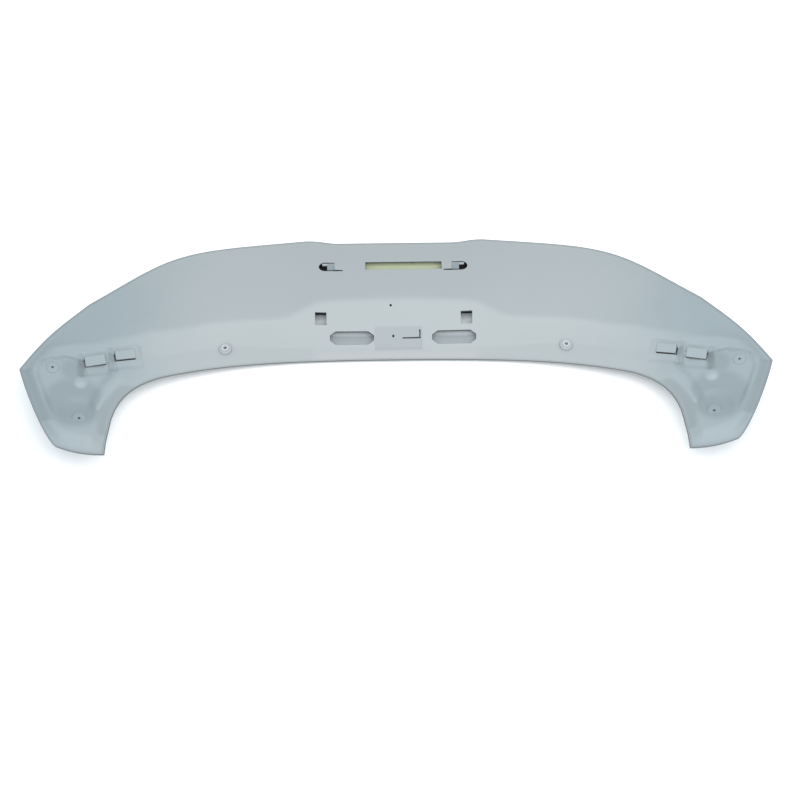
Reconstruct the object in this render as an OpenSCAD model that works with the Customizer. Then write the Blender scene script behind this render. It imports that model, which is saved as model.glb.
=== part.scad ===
// Roof spoiler for a tailgate, lying on its outer skin with the mounting side up.
// Two moulded shells are bonded along their rims and hold two threaded inserts.
// +X is to the right, +Y points at the trailing edge and +Z is up.
// Heights are given above the base surface, which is the underside of the outer skin.

/* [Outline] */
// Width across the two side tips
overall_w = 1244; // [1100:5:1400]
// Depth at the centre, from the leading edge to the trailing edge
centre_depth = 246; // [210:1:290]
// Half the width of the shallow notch in the trailing edge
notch_half = 105; // [70:1:130]
// Depth of that notch
notch_depth = 5; // [1:0.5:12]
// Where the straight shoulder of the trailing edge ends, from the centre
shoulder_x = 160; // [150:1:190]
// Distance from the side tip in to the corner between trailing edge and side edge
corner_in = 95; // [70:1:115]
// Y of that corner
corner_y = 80; // [60:1:95]
// Y of the side tip
tip_y = -66; // [-85:1:-45]
// Distance from the side tip in to the outer corner of the arm end
arm_outer_in = 71; // [55:1:80]
// Y of the outer corner of the arm end
arm_outer_y = -203; // [-215:1:-190]
// Distance from the side tip in to the inner corner of the arm end
arm_inner_in = 147; // [135:1:165]
// Y of the inner corner of the arm end
arm_inner_y = -209; // [-225:1:-200]
// How far the arm end bows out between its corners
arm_end_bow = 5; // [2:0.5:10]
// Distance from the side tip in to where the leading edge meets the arm
arch_in = 222; // [205:1:240]
// How far the leading edge has dropped back there
arch_drop = 48; // [35:1:60]
// Exponent of the leading edge's curve
arch_power = 3.06; // [2:0.02:3.5]

/* [Curvature] */
// Height that the crown gains between the flat middle and the side tips
crown_h = 98; // [60:1:130]
// Half the width of the flat middle
crown_flat = 90; // [60:1:120]
// Exponent of the crown's curve
crown_power = 2.05; // [1.8:0.05:2.6]
// Extra height of the arms at their ends
arm_rise = 16; // [0:1:30]
// Y where the arms start to rise
arm_rise_y = -24; // [-60:1:0]

/* [Shells] */
// Wall thickness of both shells
wall = 3; // [2:0.1:4]
// Height of the skin's turned-up rim
rim_h = 9; // [8:0.5:14]
// Radius over which the skin turns up
turn_r = 10; // [8:0.5:14]
// Thickness of the rim's outer edge band
edge_band = 1.5; // [1:0.1:2.5]
// Width of the rim wall that surrounds the inner panel
rim_wall = 3; // [2:0.1:4]
// Clearance between the rim wall and the edge of the inner panel
edge_gap = 0.4; // [0.2:0.05:1]
// Thickness of the adhesive bead under the inner panel
bond_gap = 0.2; // [0.1:0.05:0.5]
// Width of the ledge that the inner panel is bonded to
ledge_w = 12; // [8:0.5:16]
// Width of the flat land around the inner panel's edge
land_w = 9; // [6:0.5:12]
// Width of the bevel along the arm's outer side
bevel_w = 30; // [22:1:36]
// Width of the bevel along the arm's end
end_bevel_w = 30; // [20:1:34]

/* [Arm recess] */
// Depth of the three-cornered recess in each arm
recess_depth = 6; // [2:0.5:7]
// Depth of the round bowl at the lower screw
bowl_depth = 4; // [2:0.5:6]
// Radius of the bowl
bowl_r = 33; // [26:1:38]
// Height of the small locating dome
dome_h = 2.5; // [1:0.5:4]
// Radius of the dome
dome_r = 11; // [8:1:14]

/* [Arm screws] */
// Upper screw, measured in from the side tip
upper_screw_in = 51; // [45:1:60]
// Y of the upper screw
upper_screw_y = -56; // [-64:1:-50]
// Lower screw, measured in from the side tip
lower_screw_in = 102; // [94:1:106]
// Y of the lower screw
lower_screw_y = -147; // [-154:1:-140]
// Pilot hole diameter of the arm screws
pilot_d = 4.3; // [3.5:0.1:5.5]
// Depth of the pilot holes
pilot_depth = 6; // [4:0.5:7]
// Diameter of the arm bosses
arm_boss_d = 20; // [16:0.5:24]
// How far the arm bosses stand above the panel
arm_boss_h = 1.2; // [0.5:0.1:2.5]

/* [Front bosses] */
// Distance of the front bosses from the centre
front_boss_x = 295; // [270:1:320]
// Y of the front bosses
front_boss_y = 16; // [12:1:20]
// Diameter of the front bosses
front_boss_d = 23; // [20:0.5:26]
// How far the front bosses stand above the panel
front_boss_h = 4; // [3:0.1:5]
// Outside diameter of the threaded insert
insert_d = 9; // [8:0.1:11]
// Bore of the threaded insert
insert_bore_d = 6; // [4:0.1:6.5]
// Length of the threaded insert
insert_len = 9; // [7:0.5:10]
// Diameter of the insert's flange
insert_flange_d = 13; // [12:0.5:16]
// Thickness of the insert's flange
insert_flange_t = 1; // [0.6:0.1:1.6]
// Clearance around the insert in its boss
insert_gap = 0.1; // [0.05:0.05:0.3]
// How far a boss's disc reaches beyond its tower
disc_lip = 2; // [1:0.5:3]
// Height of the boss towers' undersides above the outer skin's inner face
tower_gap = 1; // [0.5:0.1:2]

/* [Centre openings] */
// Lamp window width
window_w = 137; // [110:1:150]
// Lamp window depth along Y
window_d = 20; // [12:0.5:26]
// Centre of the lamp window, to the right of the middle
window_x = 15.5; // [0:0.5:25]
// Y of the lamp window's centre
window_y = 186; // [175:1:195]
// Obround window length
obround_w = 77; // [60:1:90]
// Obround window depth along Y
obround_d = 21; // [16:0.5:26]
// Chamfer at the obround's ends, along X
obround_cut = 10; // [5:0.5:14]
// Chamfer at the obround's ends, along Y
obround_cut_d = 6.5; // [3:0.5:7.5]
// Centre of each obround from their common middle
obround_x = 89; // [80:1:100]
// Common middle of the obrounds, to the right of the middle
obround_mid = 13; // [0:0.5:20]
// Y of the obrounds' centres
obround_y = 39; // [36:1:44]
// Side of the square clip openings
clip_hole = 20; // [16:0.5:24]
// Centre of each clip opening from their common middle
clip_hole_x = 127; // [115:1:140]
// Y of the clip openings' centres
clip_hole_y = 69; // [64:1:74]
// Common middle of clip openings and hook slots, to the left of the middle
clip_mid = 3; // [0:0.5:8]
// Length of the open part of a hook slot
hook_w = 28; // [22:0.5:34]
// Depth of a hook slot along Y
hook_d = 18; // [14:0.5:22]
// Centre of each hook slot from the common middle
hook_x = 119; // [108:1:128]
// Y of the hook slots' centres
hook_y = 186; // [178:1:194]
// Length of the hook tongue
tongue_w = 13; // [8:0.5:16]
// How far the tongue lies below the panel's surface
tongue_drop = 4; // [3:0.5:6]
// Length of the thin slit beside a hook slot
hook_slit = 15; // [8:0.5:20]
// Width of all thin slits
slit_w = 2.4; // [1.5:0.1:3.5]

/* [Centre plate] */
// Width of the shallow centre plate
plate_w = 82; // [60:1:90]
// Depth of the centre plate along Y
plate_d = 36; // [24:1:40]
// Centre of the plate, to the right of the middle
plate_x = 5; // [0:0.5:10]
// Y of the plate's centre
plate_y = 38; // [34:1:42]
// How far the plate is sunk
plate_sink = 1.2; // [0.5:0.1:1.8]
// Diameter of the two locating holes
locator_d = 4.2; // [3:0.1:6]
// Locating hole in the ridge, to the left of the middle
ridge_hole_x = 8; // [0:0.5:12]
// Y of the ridge's locating hole
ridge_hole_y = 90; // [86:1:94]
// Locating hole in the plate, to the left of the plate's centre
plate_hole_x = 9; // [6:0.5:14]
// Length of the plate's slit along X
plate_slit_w = 34; // [20:1:38]
// Length of the plate's slit along Y
plate_slit_d = 14; // [8:0.5:18]

/* [Clip pads] */
// Length of a clip pad
pad_w = 36; // [30:0.5:40]
// Depth of a clip pad
pad_d = 20; // [16:0.5:24]
// How far a clip pad stands above the panel
pad_h = 0.8; // [0.4:0.1:2]
// Depth of the pocket around a clip pad
pad_pocket = 3; // [1.5:0.1:4]
// How far the pocket reaches beyond the pad's outer side
pocket_side = 12; // [8:0.5:14]
// How far the pocket reaches in front of the pad
pocket_front = 12; // [6:0.5:16]
// Outer pad, measured in from the side tip
outer_pad_in = 116; // [110:1:124]
// Y of the outer pad
outer_pad_y = -32; // [-38:1:-26]
// Inner pad, measured in from the side tip
inner_pad_in = 163; // [158:1:170]
// Y of the inner pad
inner_pad_y = -14; // [-20:1:-8]
// Turn of the pads towards the arm
pad_turn = 16; // [5:1:25]

/* [Hidden] */

// Shape of each section: [station, foot distance, foot height, crest distance, crest height].
// Stations run from 0 at the centre to 1 at the arm end. Distances are from the leading edge,
// and heights are above the rim.
sections = [
    [0.00, 24, 3, 101, 41],
    [0.17, 25, 3, 99, 41],
    [0.27, 32, 3, 77, 30],
    [0.42, 42, 4, 82, 26],
    [0.52, 44, 4, 80, 23],
    [0.60, 44, 5, 88, 21],
    [0.67, 44, 8, 101, 18],
    [0.76, 32, 11, 146, 13],
    [0.84, 28, 11, 170, 12],
    [0.91, 24, 11, 170, 12],
    [1.00, 20, 11, 170, 12]
];
// Stations where the trailing edge's shoulder, corner and tip lie, and where the arch starts
shoulder_s = 0.18;
corner_s = 0.62;
tip_s = 0.80;
arch_s = 0.66;
// Last station of the evenly spaced ribs, and the number of ribs up to it
centre_end_s = corner_s;
arm_end_s = 0.90;
centre_ribs = 15;
arm_ribs = 14;
// Stations where the arm recess starts, is full, ends and is gone
recess_start_s = 0.735;
recess_full_s = 0.765;
recess_end_s = 0.86;
recess_gone_s = 0.93;
// Width of the recess's sloping walls
recess_slope = 10;
// How much further out the recess reaches at its top, and the station where it no longer does
recess_reach = 18;
recess_in_s = 0.80;

half_w = overall_w / 2;
tip = [half_w, tip_y];
corner = [half_w - corner_in, corner_y];
arm_outer = [half_w - arm_outer_in, arm_outer_y];
arm_inner = [half_w - arm_inner_in, arm_inner_y];
arch = [half_w - arch_in, -arch_drop];
shoulder = [shoulder_x, centre_depth + notch_depth];

// Handles of the outline's four curves, as steps from the points they belong to
trailing_curve = [shoulder, shoulder + [235, -30], corner + [-126, 118], corner];
side_curve = [corner, corner + [42, -52], tip + [-32, 70], tip];
arm_curve = [tip, tip + [-14, -42], arm_outer + [19, 14], arm_outer];
arch_curve = [arch, arch + [60, -29], arm_inner + [3, 98], arm_inner];

ledge_h = rim_h - wall - bond_gap;
panel_edge = rim_wall + edge_gap;
draft = 0.2;
spot_face_h = 6;
slope_step = 10;
pocket_back = 3;
slit_share = 0.7;
cut_reach = 30;
insert_hole_d = insert_d + 2 * insert_gap;
far = 1000;

function mix(a, b, t) = a + (b - a) * t;
function ramp(a, b, v) = min(max((v - a) / (b - a), 0), 1);
function ease(a, b, v) = let (t = ramp(a, b, v)) t * t * (3 - 2 * t);
function bezier(p, t) =
    let (u = 1 - t) u * u * u * p[0] + 3 * u * u * t * p[1] + 3 * u * t * t * p[2] + t * t * t * p[3];

// Plan of the outline: outer edge and inner edge at a station
function outer_edge(s) =
    s < shoulder_s ?
        let (x = shoulder_x * s / shoulder_s)
        [x, centre_depth + notch_depth * ease(notch_half, shoulder_x - 10, x)] :
    s < corner_s ? bezier(trailing_curve, ramp(shoulder_s, corner_s, s)) :
    s < tip_s ? bezier(side_curve, ramp(corner_s, tip_s, s)) :
    bezier(arm_curve, ramp(tip_s, 1, s));
function inner_edge(s) =
    s < arch_s ?
        let (t = s / arch_s) [arch[0] * t, -arch_drop * pow(t, arch_power)] :
    bezier(arch_curve, ramp(arch_s, 1, s));

// Base surface: the underside of the outer skin, away from its turned-up rim
function base_z(x, y) =
    crown_h * pow(max(abs(x) - crown_flat, 0) / (half_w - crown_flat), crown_power)
    + arm_rise * pow(max(arm_rise_y - y, 0) / (arm_rise_y - arm_inner_y), 2);

// Foot and crest of the panel's section at a station
function section_value(s, k, i = 0) =
    i >= len(sections) - 2 || s <= sections[i + 1][0] ?
        mix(sections[i][k], sections[i + 1][k], ease(sections[i][0], sections[i + 1][0], s)) :
    section_value(s, k, i + 1);
function foot_at(s) = section_value(s, 1);
function crest_at(s, length) = min(section_value(s, 3), length - bevel_w);
function section_h(s, d, length) =
    let (foot = foot_at(s), foot_h = section_value(s, 2), crest = crest_at(s, length))
    d < foot ? foot_h * ramp(land_w, foot, d) :
    d < crest ? mix(foot_h, section_value(s, 4), ramp(foot, crest, d)) :
    section_value(s, 4) * (1 - ramp(crest, length - land_w, d));

// The arm's recess, its bowl and the dome beside it
function recess_h(s, d, length) =
    -recess_depth * ease(recess_start_s, recess_full_s, s) * (1 - ease(recess_end_s, recess_gone_s, s))
    * ease(foot_at(s), foot_at(s) + recess_slope, d)
    * (1 - ease(recess_edge(s, length) - recess_slope, recess_edge(s, length), d));
function recess_edge(s, length) =
    length - bevel_w + recess_reach * (1 - ease(recess_full_s, recess_in_s, s));
bowl_centre = [half_w - lower_screw_in + 2, lower_screw_y + 12];
dome_centre = [half_w - lower_screw_in + 5, upper_screw_y - 22];
function bowl_h(x, y) =
    -bowl_depth * (1 - ease(bowl_r - 2 * recess_slope, bowl_r, norm([abs(x), y] - bowl_centre)))
    + dome_h * (1 - ease(0, dome_r, norm([abs(x), y] - dome_centre)));

// Upper face of the inner panel
function panel_z(x, y, s, d, length, end_d) =
    base_z(x, y) + rim_h
    + (section_h(s, d, length) + recess_h(s, d, length) + bowl_h(x, y)) * ease(land_w, end_bevel_w, end_d);

// The station whose rib runs through a point, found by halving, and the height there
function side_of(p, s) =
    let (a = inner_edge(s), r = outer_edge(s) - a) r[0] * (p[1] - a[1]) - r[1] * (p[0] - a[0]);
function station_of(p, low = 0, high = 1, turns = 18) =
    turns == 0 ? (low + high) / 2 :
    let (middle = (low + high) / 2)
    side_of(p, middle) > 0 ? station_of(p, low, middle, turns - 1) :
    station_of(p, middle, high, turns - 1);
function panel_at(x, y) =
    let (p = [abs(x), y], s = station_of(p), a = inner_edge(s), b = outer_edge(s))
    panel_z(x, y, s, norm(p - a), norm(b - a), far);

// Ribs as [outer station, inner station, distance from the arm end]
outer_speed = 3 * norm(arm_curve[3] - arm_curve[2]) / (1 - tip_s);
inner_speed = 3 * norm(arch_curve[3] - arch_curve[2]) / (1 - arch_s);
function ribs(end_steps) = concat(
    [for (i = [0:centre_ribs]) let (s = centre_end_s * i / centre_ribs) [s, s, far]],
    [for (i = [1:arm_ribs]) let (s = mix(centre_end_s, arm_end_s, i / arm_ribs)) [s, s, far]],
    [for (e = end_steps) [1 - e / outer_speed, 1 - e / inner_speed, e]]);
function both_sides(half) = concat(
    [for (i = [len(half) - 1:-1:1]) [-1, half[i]]],
    [for (rib = half) [1, rib]]);
function rib_length(rib) = norm(outer_edge(rib[0]) - inner_edge(rib[1]));
function plan_point(side, rib, d) =
    let (a = inner_edge(rib[1]), b = outer_edge(rib[0]), t = d / norm(b - a), p = mix(a, b, t),
         bow = arm_end_bow * 4 * t * (1 - t) * ease(tip_s, 1, (rib[0] + rib[1]) / 2))
    [side * p[0], p[1] - bow];

// Skin: distances across a rib, and the heights of its two faces
function skin_steps(length) =
    let (w = rim_wall, rise = w + draft, toe = w + ledge_w, inside = toe + wall)
    concat([0, w, rise, turn_r * 0.7, toe, inside],
           [for (t = [1:3]) mix(inside, length - inside, t / 4)],
           [for (e = [inside, toe, turn_r * 0.7, rise, w, 0]) length - e]);
function skin_top_h(e) =
    e < rim_wall + draft / 2 ? rim_h :
    mix(ledge_h, wall, ramp(rim_wall + ledge_w, rim_wall + ledge_w + wall, e));
function skin_bottom_h(e) =
    (rim_h - edge_band) * (1 - sqrt(1 - pow(1 - ramp(0, turn_r, e), 2)));

// Panel: distances across a rib
function panel_steps(rib) =
    let (length = rib_length(rib), s = (rib[0] + rib[1]) / 2,
         foot = foot_at(s), crest = crest_at(s, length), last = length - land_w)
    concat([panel_edge, land_w, mix(land_w, foot, 0.5)],
           [for (t = [0, 0.12, 0.3, 0.5, 0.7, 0.88]) mix(foot, crest, t)],
           [for (t = [0, 0.3, 0.65]) mix(crest, last, t)],
           [last, length - panel_edge]);

// A closed shell between two faces that share one grid
module shell(rows, top, bottom) {
    n = len(rows);
    m = len(rows[0]);
    function at(i, j) = i * m + j;
    lower = n * m;
    cells = [for (i = [0:n - 2], j = [0:m - 2])
        [at(i, j), at(i, j + 1), at(i + 1, j + 1), at(i + 1, j), i < (n - 1) / 2 ? 1 : 0]];
    rim = concat([for (i = [0:n - 2]) at(i, 0)], [for (j = [0:m - 2]) at(n - 1, j)],
                 [for (i = [n - 1:-1:1]) at(i, m - 1)], [for (j = [m - 1:-1:1]) at(0, j)]);
    upper_faces = [for (c = cells, k = [0, 1])
        c[4] == 1 ? (k == 0 ? [c[0], c[1], c[3]] : [c[1], c[2], c[3]]) :
        (k == 0 ? [c[0], c[1], c[2]] : [c[0], c[2], c[3]])];
    lower_faces = [for (f = upper_faces) [f[2] + lower, f[1] + lower, f[0] + lower]];
    sides = [for (k = [0:len(rim) - 1], half = [0, 1])
        let (p = rim[k], q = rim[(k + 1) % len(rim)])
        half == 0 ? [p, q, q + lower] : [p, q + lower, p + lower]];
    polyhedron(points = concat(top, bottom), faces = concat(upper_faces, lower_faces, sides));
}

skin_ends = [end_bevel_w, rim_wall + ledge_w + wall, rim_wall + ledge_w, turn_r * 0.7,
             rim_wall + draft, rim_wall, 0];
panel_ends = [end_bevel_w, mix(land_w, end_bevel_w, 0.5), land_w, panel_edge];

// Each row is one rib: [x, y, distance from the nearest edge] for the skin
skin_rows = [for (r = both_sides(ribs(skin_ends)))
    let (length = rib_length(r[1]))
    [for (d = skin_steps(length))
        let (p = plan_point(r[0], r[1], d)) [p[0], p[1], min(d, length - d, r[1][2])]]];
// and [x, y, z] for the panel
panel_rows = [for (r = both_sides(ribs(panel_ends)))
    let (length = rib_length(r[1]), s = (r[1][0] + r[1][1]) / 2)
    [for (d = panel_steps(r[1]))
        let (p = plan_point(r[0], r[1], d)) [p[0], p[1], panel_z(p[0], p[1], s, d, length, r[1][2])]]];

// Middle of the plan in Y, which becomes the origin
all_y = [for (row = skin_rows, p = row) p[1]];
mid_y = (min(all_y) + max(all_y)) / 2;

module skin_shell() {
    shell(skin_rows,
        [for (row = skin_rows, p = row) [p[0], p[1], base_z(p[0], p[1]) + skin_top_h(p[2])]],
        [for (row = skin_rows, p = row) [p[0], p[1], base_z(p[0], p[1]) + skin_bottom_h(p[2])]]);
}

module panel_shell() {
    shell(panel_rows,
        [for (row = panel_rows, p = row) p],
        [for (row = panel_rows, p = row) [p[0], p[1], p[2] - wall]]);
}

// Slope of the base surface along X
function slope_x(x, y) = (base_z(x + slope_step, y) - base_z(x - slope_step, y)) / (2 * slope_step);

// Stands its children on the panel, square to the crown when tilted
module on_panel(side, x, y, tilted = true) {
    translate([side * x, y, panel_at(x, y)])
        rotate([0, tilted ? -side * atan(slope_x(x, y)) : 0, 0])
            children();
}

// A round boss through the panel: its disc above the surface and its tower below
module boss(d, rise, tower_h) {
    translate([0, 0, -tower_h])
        cylinder(r = d / 2 - disc_lip, h = tower_h, $fn = 48);
    translate([0, 0, -wall])
        cylinder(d = d, h = rise + wall, $fn = 48);
}

module front_boss(side) {
    reach = front_boss_d / 2;
    on_panel(side, front_boss_x, front_boss_y, false)
        boss(front_boss_d, front_boss_h, panel_at(front_boss_x, front_boss_y) - wall - tower_gap
             - base_z(front_boss_x + reach, front_boss_y - reach));
}

module arm_boss(side, inset, y, d) {
    x = half_w - inset;
    depth = panel_at(x, y) - wall - base_z(x, y - d / 2);
    on_panel(side, x, y)
        boss(d, arm_boss_h, depth * cos(atan(slope_x(x, y))) - tower_gap);
}

module blind_hole(d, top, depth) {
    translate([0, 0, top - depth])
        cylinder(d = d, h = depth + 1, $fn = 48);
}

// An upright cut through the panel, with the shape of its children
module cut_through(x, y) {
    translate([x, y, panel_at(x, y) - cut_reach])
        linear_extrude(height = 2 * cut_reach)
            children();
}

module obround_shape() {
    w = obround_w / 2;
    d = obround_d / 2;
    in_x = w - obround_cut;
    in_y = d - obround_cut_d;
    polygon([[-w, -in_y], [-in_x, -d], [in_x, -d], [w, -in_y],
             [w, in_y], [in_x, d], [-in_x, d], [-w, in_y]]);
}

// Hook slot with its round end on the outer side
module hook_shape(side) {
    r = hook_d / 2;
    translate([side * (hook_w / 2 - r), 0])
        circle(r = r, $fn = 48);
    translate([side > 0 ? -hook_w / 2 : r - hook_w / 2, -r])
        square([hook_w - r, hook_d]);
    translate([side > 0 ? -hook_w / 2 - hook_slit : hook_w / 2 - 1, -r])
        square([hook_slit + 1, slit_w]);
}

module hook_tongue(side) {
    x = side * hook_x - clip_mid - side * (hook_w - tongue_w) / 2;
    z = panel_at(x, hook_y) - tongue_drop - wall;
    translate([x - tongue_w / 2 - 1, hook_y - hook_d / 2 + slit_w + 1, z])
        cube([tongue_w + 2, hook_d, wall]);
    translate([x - tongue_w / 2 - 1, hook_y + hook_d / 2 - 0.5, z])
        cube([tongue_w + 2, wall, tongue_drop + 1]);
}

// A rest for one clip: a flat pad in a shallow pocket of the arm, with an L-shaped slit beside it
module pad_frame(side, inset, y) {
    on_panel(side, half_w - inset, y)
        rotate([0, 0, -side * pad_turn])
            mirror([side > 0 ? 0 : 1, 0, 0])
                children();
}
module pad_block() {
    translate([-pad_w / 2, -pad_d / 2, -wall - pad_pocket])
        cube([pad_w, pad_d, wall + pad_pocket + pad_h]);
}

// The pocket's outline, grown by a margin
module pocket_shape(margin) {
    translate([-pad_w / 2 - pocket_back - margin, -pad_d / 2 - pocket_front - margin])
        square([pad_w + pocket_back + pocket_side + 2 * margin,
                pad_d + pocket_front + pocket_back + 2 * margin]);
}
module pad_tray() {
    translate([0, 0, -wall - pad_pocket])
        linear_extrude(height = pad_pocket + wall / 2)
            pocket_shape(wall);
}
module pad_pocket_cut() {
    translate([0, 0, -pad_pocket])
        linear_extrude(height = cut_reach)
            pocket_shape(0);
}
module pad_slit() {
    translate([-pad_w / 2, -pad_d / 2 - slit_w, -cut_reach])
        cube([pad_w, slit_w, 2 * cut_reach]);
    translate([pad_w / 2, -pad_d / 2 - slit_w, -cut_reach])
        cube([slit_w, pad_d * slit_share, 2 * cut_reach]);
}
module all_pads() {
    for (side = [-1, 1]) {
        pad_frame(side, outer_pad_in, outer_pad_y)
            children();
        pad_frame(side, inner_pad_in, inner_pad_y)
            children();
    }
}

// The plate's shallow recess follows the slope of the panel between leading edge and ridge
module plate_recess() {
    low = plate_y - plate_d / 2;
    high = plate_y + plate_d / 2;
    low_z = panel_at(plate_x, low) - plate_sink;
    high_z = panel_at(plate_x, high) - plate_sink;
    translate([plate_x - plate_w / 2, 0, 0])
        rotate([90, 0, 90])
            linear_extrude(height = plate_w)
                polygon([[low, low_z], [high, high_z], [high, high_z + wall], [low, low_z + wall]]);
}

module panel_openings() {
    plate_recess();
    cut_through(window_x, window_y)
        square([window_w, window_d], center = true);
    for (side = [-1, 1]) {
        cut_through(obround_mid + side * obround_x, obround_y)
            obround_shape();
        cut_through(side * clip_hole_x - clip_mid, clip_hole_y)
            square(clip_hole, center = true);
        cut_through(side * hook_x - clip_mid, hook_y)
            hook_shape(side);
    }
    cut_through(-ridge_hole_x, ridge_hole_y)
        circle(d = locator_d, $fn = 32);
    cut_through(plate_x - plate_hole_x, plate_y + locator_d)
        circle(d = locator_d, $fn = 32);
    cut_through(plate_x + plate_w / 2 - plate_slit_w, plate_y)
        square([plate_slit_w - slit_w, slit_w]);
    cut_through(plate_x + plate_w / 2 - 2 * slit_w, plate_y)
        square([slit_w, plate_slit_d]);
}

module outer_skin() {
    color([0.72, 0.76, 0.79])
        translate([0, -mid_y, 0])
            skin_shell();
}

module inner_panel() {
    color([0.76, 0.80, 0.83])
        translate([0, -mid_y, 0])
            difference() {
                union() {
                    difference() {
                        union() {
                            panel_shell();
                            all_pads() pad_tray();
                        }
                        panel_openings();
                        all_pads() pad_pocket_cut();
                    }
                    all_pads() pad_block();
                    for (side = [-1, 1]) {
                        hook_tongue(side);
                        front_boss(side);
                        arm_boss(side, upper_screw_in, upper_screw_y, arm_boss_d);
                        arm_boss(side, lower_screw_in, lower_screw_y, arm_boss_d + disc_lip);
                    }
                }
                all_pads() pad_slit();
                for (side = [-1, 1]) {
                    front_hole(side);
                    arm_hole(side, upper_screw_in, upper_screw_y);
                    arm_hole(side, lower_screw_in, lower_screw_y);
                }
            }
}

front_top = panel_at(front_boss_x, front_boss_y) + front_boss_h;

// The insert's hole, and the spot face that keeps the slope behind it off the disc
module front_hole(side) {
    on_panel(side, front_boss_x, front_boss_y, false) {
        blind_hole(insert_hole_d, front_boss_h, insert_len + insert_gap);
        blind_hole(front_boss_d, front_boss_h + spot_face_h, spot_face_h);
    }
}

module arm_hole(side, inset, y) {
    on_panel(side, half_w - inset, y)
        blind_hole(pilot_d, arm_boss_h, pilot_depth);
}

// Steel insert, seated with its flange on the boss
module front_insert(side) {
    color([0.70, 0.72, 0.73])
        translate([side * front_boss_x, front_boss_y - mid_y, front_top])
            difference() {
                union() {
                    translate([0, 0, -insert_len])
                        cylinder(d = insert_d, h = insert_len, $fn = 48);
                    cylinder(d = insert_flange_d, h = insert_flange_t, $fn = 48);
                }
                translate([0, 0, -insert_len - 1])
                    cylinder(d = insert_bore_d, h = insert_len + insert_flange_t + 2, $fn = 48);
            }
}

module front_insert_left() {
    front_insert(-1);
}

module front_insert_right() {
    front_insert(1);
}

outer_skin();
inner_panel();
front_insert_left();
front_insert_right();
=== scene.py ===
"""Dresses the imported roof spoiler: fine shells, bosses, clip pads, threads, primer and a studio."""
import math

import bmesh
import bpy
import numpy as np
from mathutils import Matrix, Vector


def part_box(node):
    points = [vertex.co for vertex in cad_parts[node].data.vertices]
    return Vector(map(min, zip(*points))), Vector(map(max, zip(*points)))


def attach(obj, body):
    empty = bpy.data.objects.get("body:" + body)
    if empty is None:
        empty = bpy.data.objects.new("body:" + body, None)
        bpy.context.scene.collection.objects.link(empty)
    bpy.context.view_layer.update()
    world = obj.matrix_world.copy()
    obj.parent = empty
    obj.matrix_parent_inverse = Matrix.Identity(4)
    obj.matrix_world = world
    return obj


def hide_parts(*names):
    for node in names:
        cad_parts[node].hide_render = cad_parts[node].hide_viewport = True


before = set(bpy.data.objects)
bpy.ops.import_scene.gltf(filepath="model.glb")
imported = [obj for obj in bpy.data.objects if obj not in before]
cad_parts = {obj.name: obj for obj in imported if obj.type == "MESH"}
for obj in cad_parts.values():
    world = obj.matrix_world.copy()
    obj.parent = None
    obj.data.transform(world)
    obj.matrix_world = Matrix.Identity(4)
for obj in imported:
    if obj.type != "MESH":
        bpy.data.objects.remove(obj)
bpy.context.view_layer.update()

bl_info = {
    "name": "Roof spoiler",
    "version": (1, 0, 0),
    "blender": (4, 5, 0),
    "location": "View3D > Sidebar > Spoiler",
    "description": "Builds the shells, fittings and finish of a moulded roof spoiler",
    "category": "Object",
}

# Lengths in the shape functions are in millimetres; meshes are made in metres
MM = 0.001
FAR = 1000.0

# Outline in plan, before the origin is moved to the middle of the plan box
HALF_W = 622.0
CENTRE_DEPTH = 246.0
NOTCH_HALF = 105.0
NOTCH_DEPTH = 5.0
NOTCH_END = 150.0
SHOULDER = np.array([160.0, CENTRE_DEPTH + NOTCH_DEPTH])
CORNER = np.array([HALF_W - 95, 80])
TIP = np.array([HALF_W, -66])
ARM_OUTER = np.array([HALF_W - 71, -203])
ARM_INNER = np.array([HALF_W - 147, -209])
ARM_END_BOW = 5.0
ARM_END_BEVEL = 30.0
ARCH = np.array([HALF_W - 222, -48])
ARCH_POWER = 3.06
TRAILING_CURVE = [SHOULDER, SHOULDER + [235, -30], CORNER + [-126, 118], CORNER]
SIDE_CURVE = [CORNER, CORNER + [42, -52], TIP + [-32, 70], TIP]
ARM_CURVE = [TIP, TIP + [-14, -42], ARM_OUTER + [19, 14], ARM_OUTER]
ARCH_CURVE = [ARCH, ARCH + [60, -29], ARM_INNER + [3, 98], ARM_INNER]

# Stations along the outline, from 0 at the centre to 1 at the arm end
SHOULDER_S = 0.18
CORNER_S = 0.62
TIP_S = 0.80
ARCH_S = 0.66
ARM_END_S = 0.90

# Numbers of ribs up to the corner and along the arm, and the last ribs' distances from the arm's end.
# The solids' own ribs give the middle of the plan box.
SOLID_RIBS = (15, 14)
SOLID_ENDS = (30, 0)
SKIN_RIBS = (110, 84)
SKIN_ENDS = (30, 26, 22)
PANEL_RIBS = (170, 108)
PANEL_ENDS = (30, 27, 24, 21, 18, 15, 12, 9.5, 7, 5)

# Curvature of the base surface
CROWN_FLAT = 90.0
CROWN_POWER = 2.05
ARM_RISE_Y = -24.0

# Section of the panel at a station: foot distance, foot height, crest distance, crest height
SECTION_S = np.array([0, 0.17, 0.27, 0.42, 0.52, 0.60, 0.67, 0.76, 0.84, 0.91, 1])
FOOT_D = np.array([24, 25, 32, 42, 44, 44, 44, 32, 28, 24, 20.0])
FOOT_H = np.array([3, 3, 3, 4, 4, 5, 8, 11, 11, 11, 11.0])
CREST_D = np.array([101, 99, 77, 82, 80, 88, 101, 146, 170, 170, 170.0])
CREST_H = np.array([41, 41, 30, 26, 23, 21, 18, 13, 12, 12, 12.0])
FOOT_ROUND = 2.5
CREST_ROUND = 7.0
LAND_ROUND = 2.5

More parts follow.
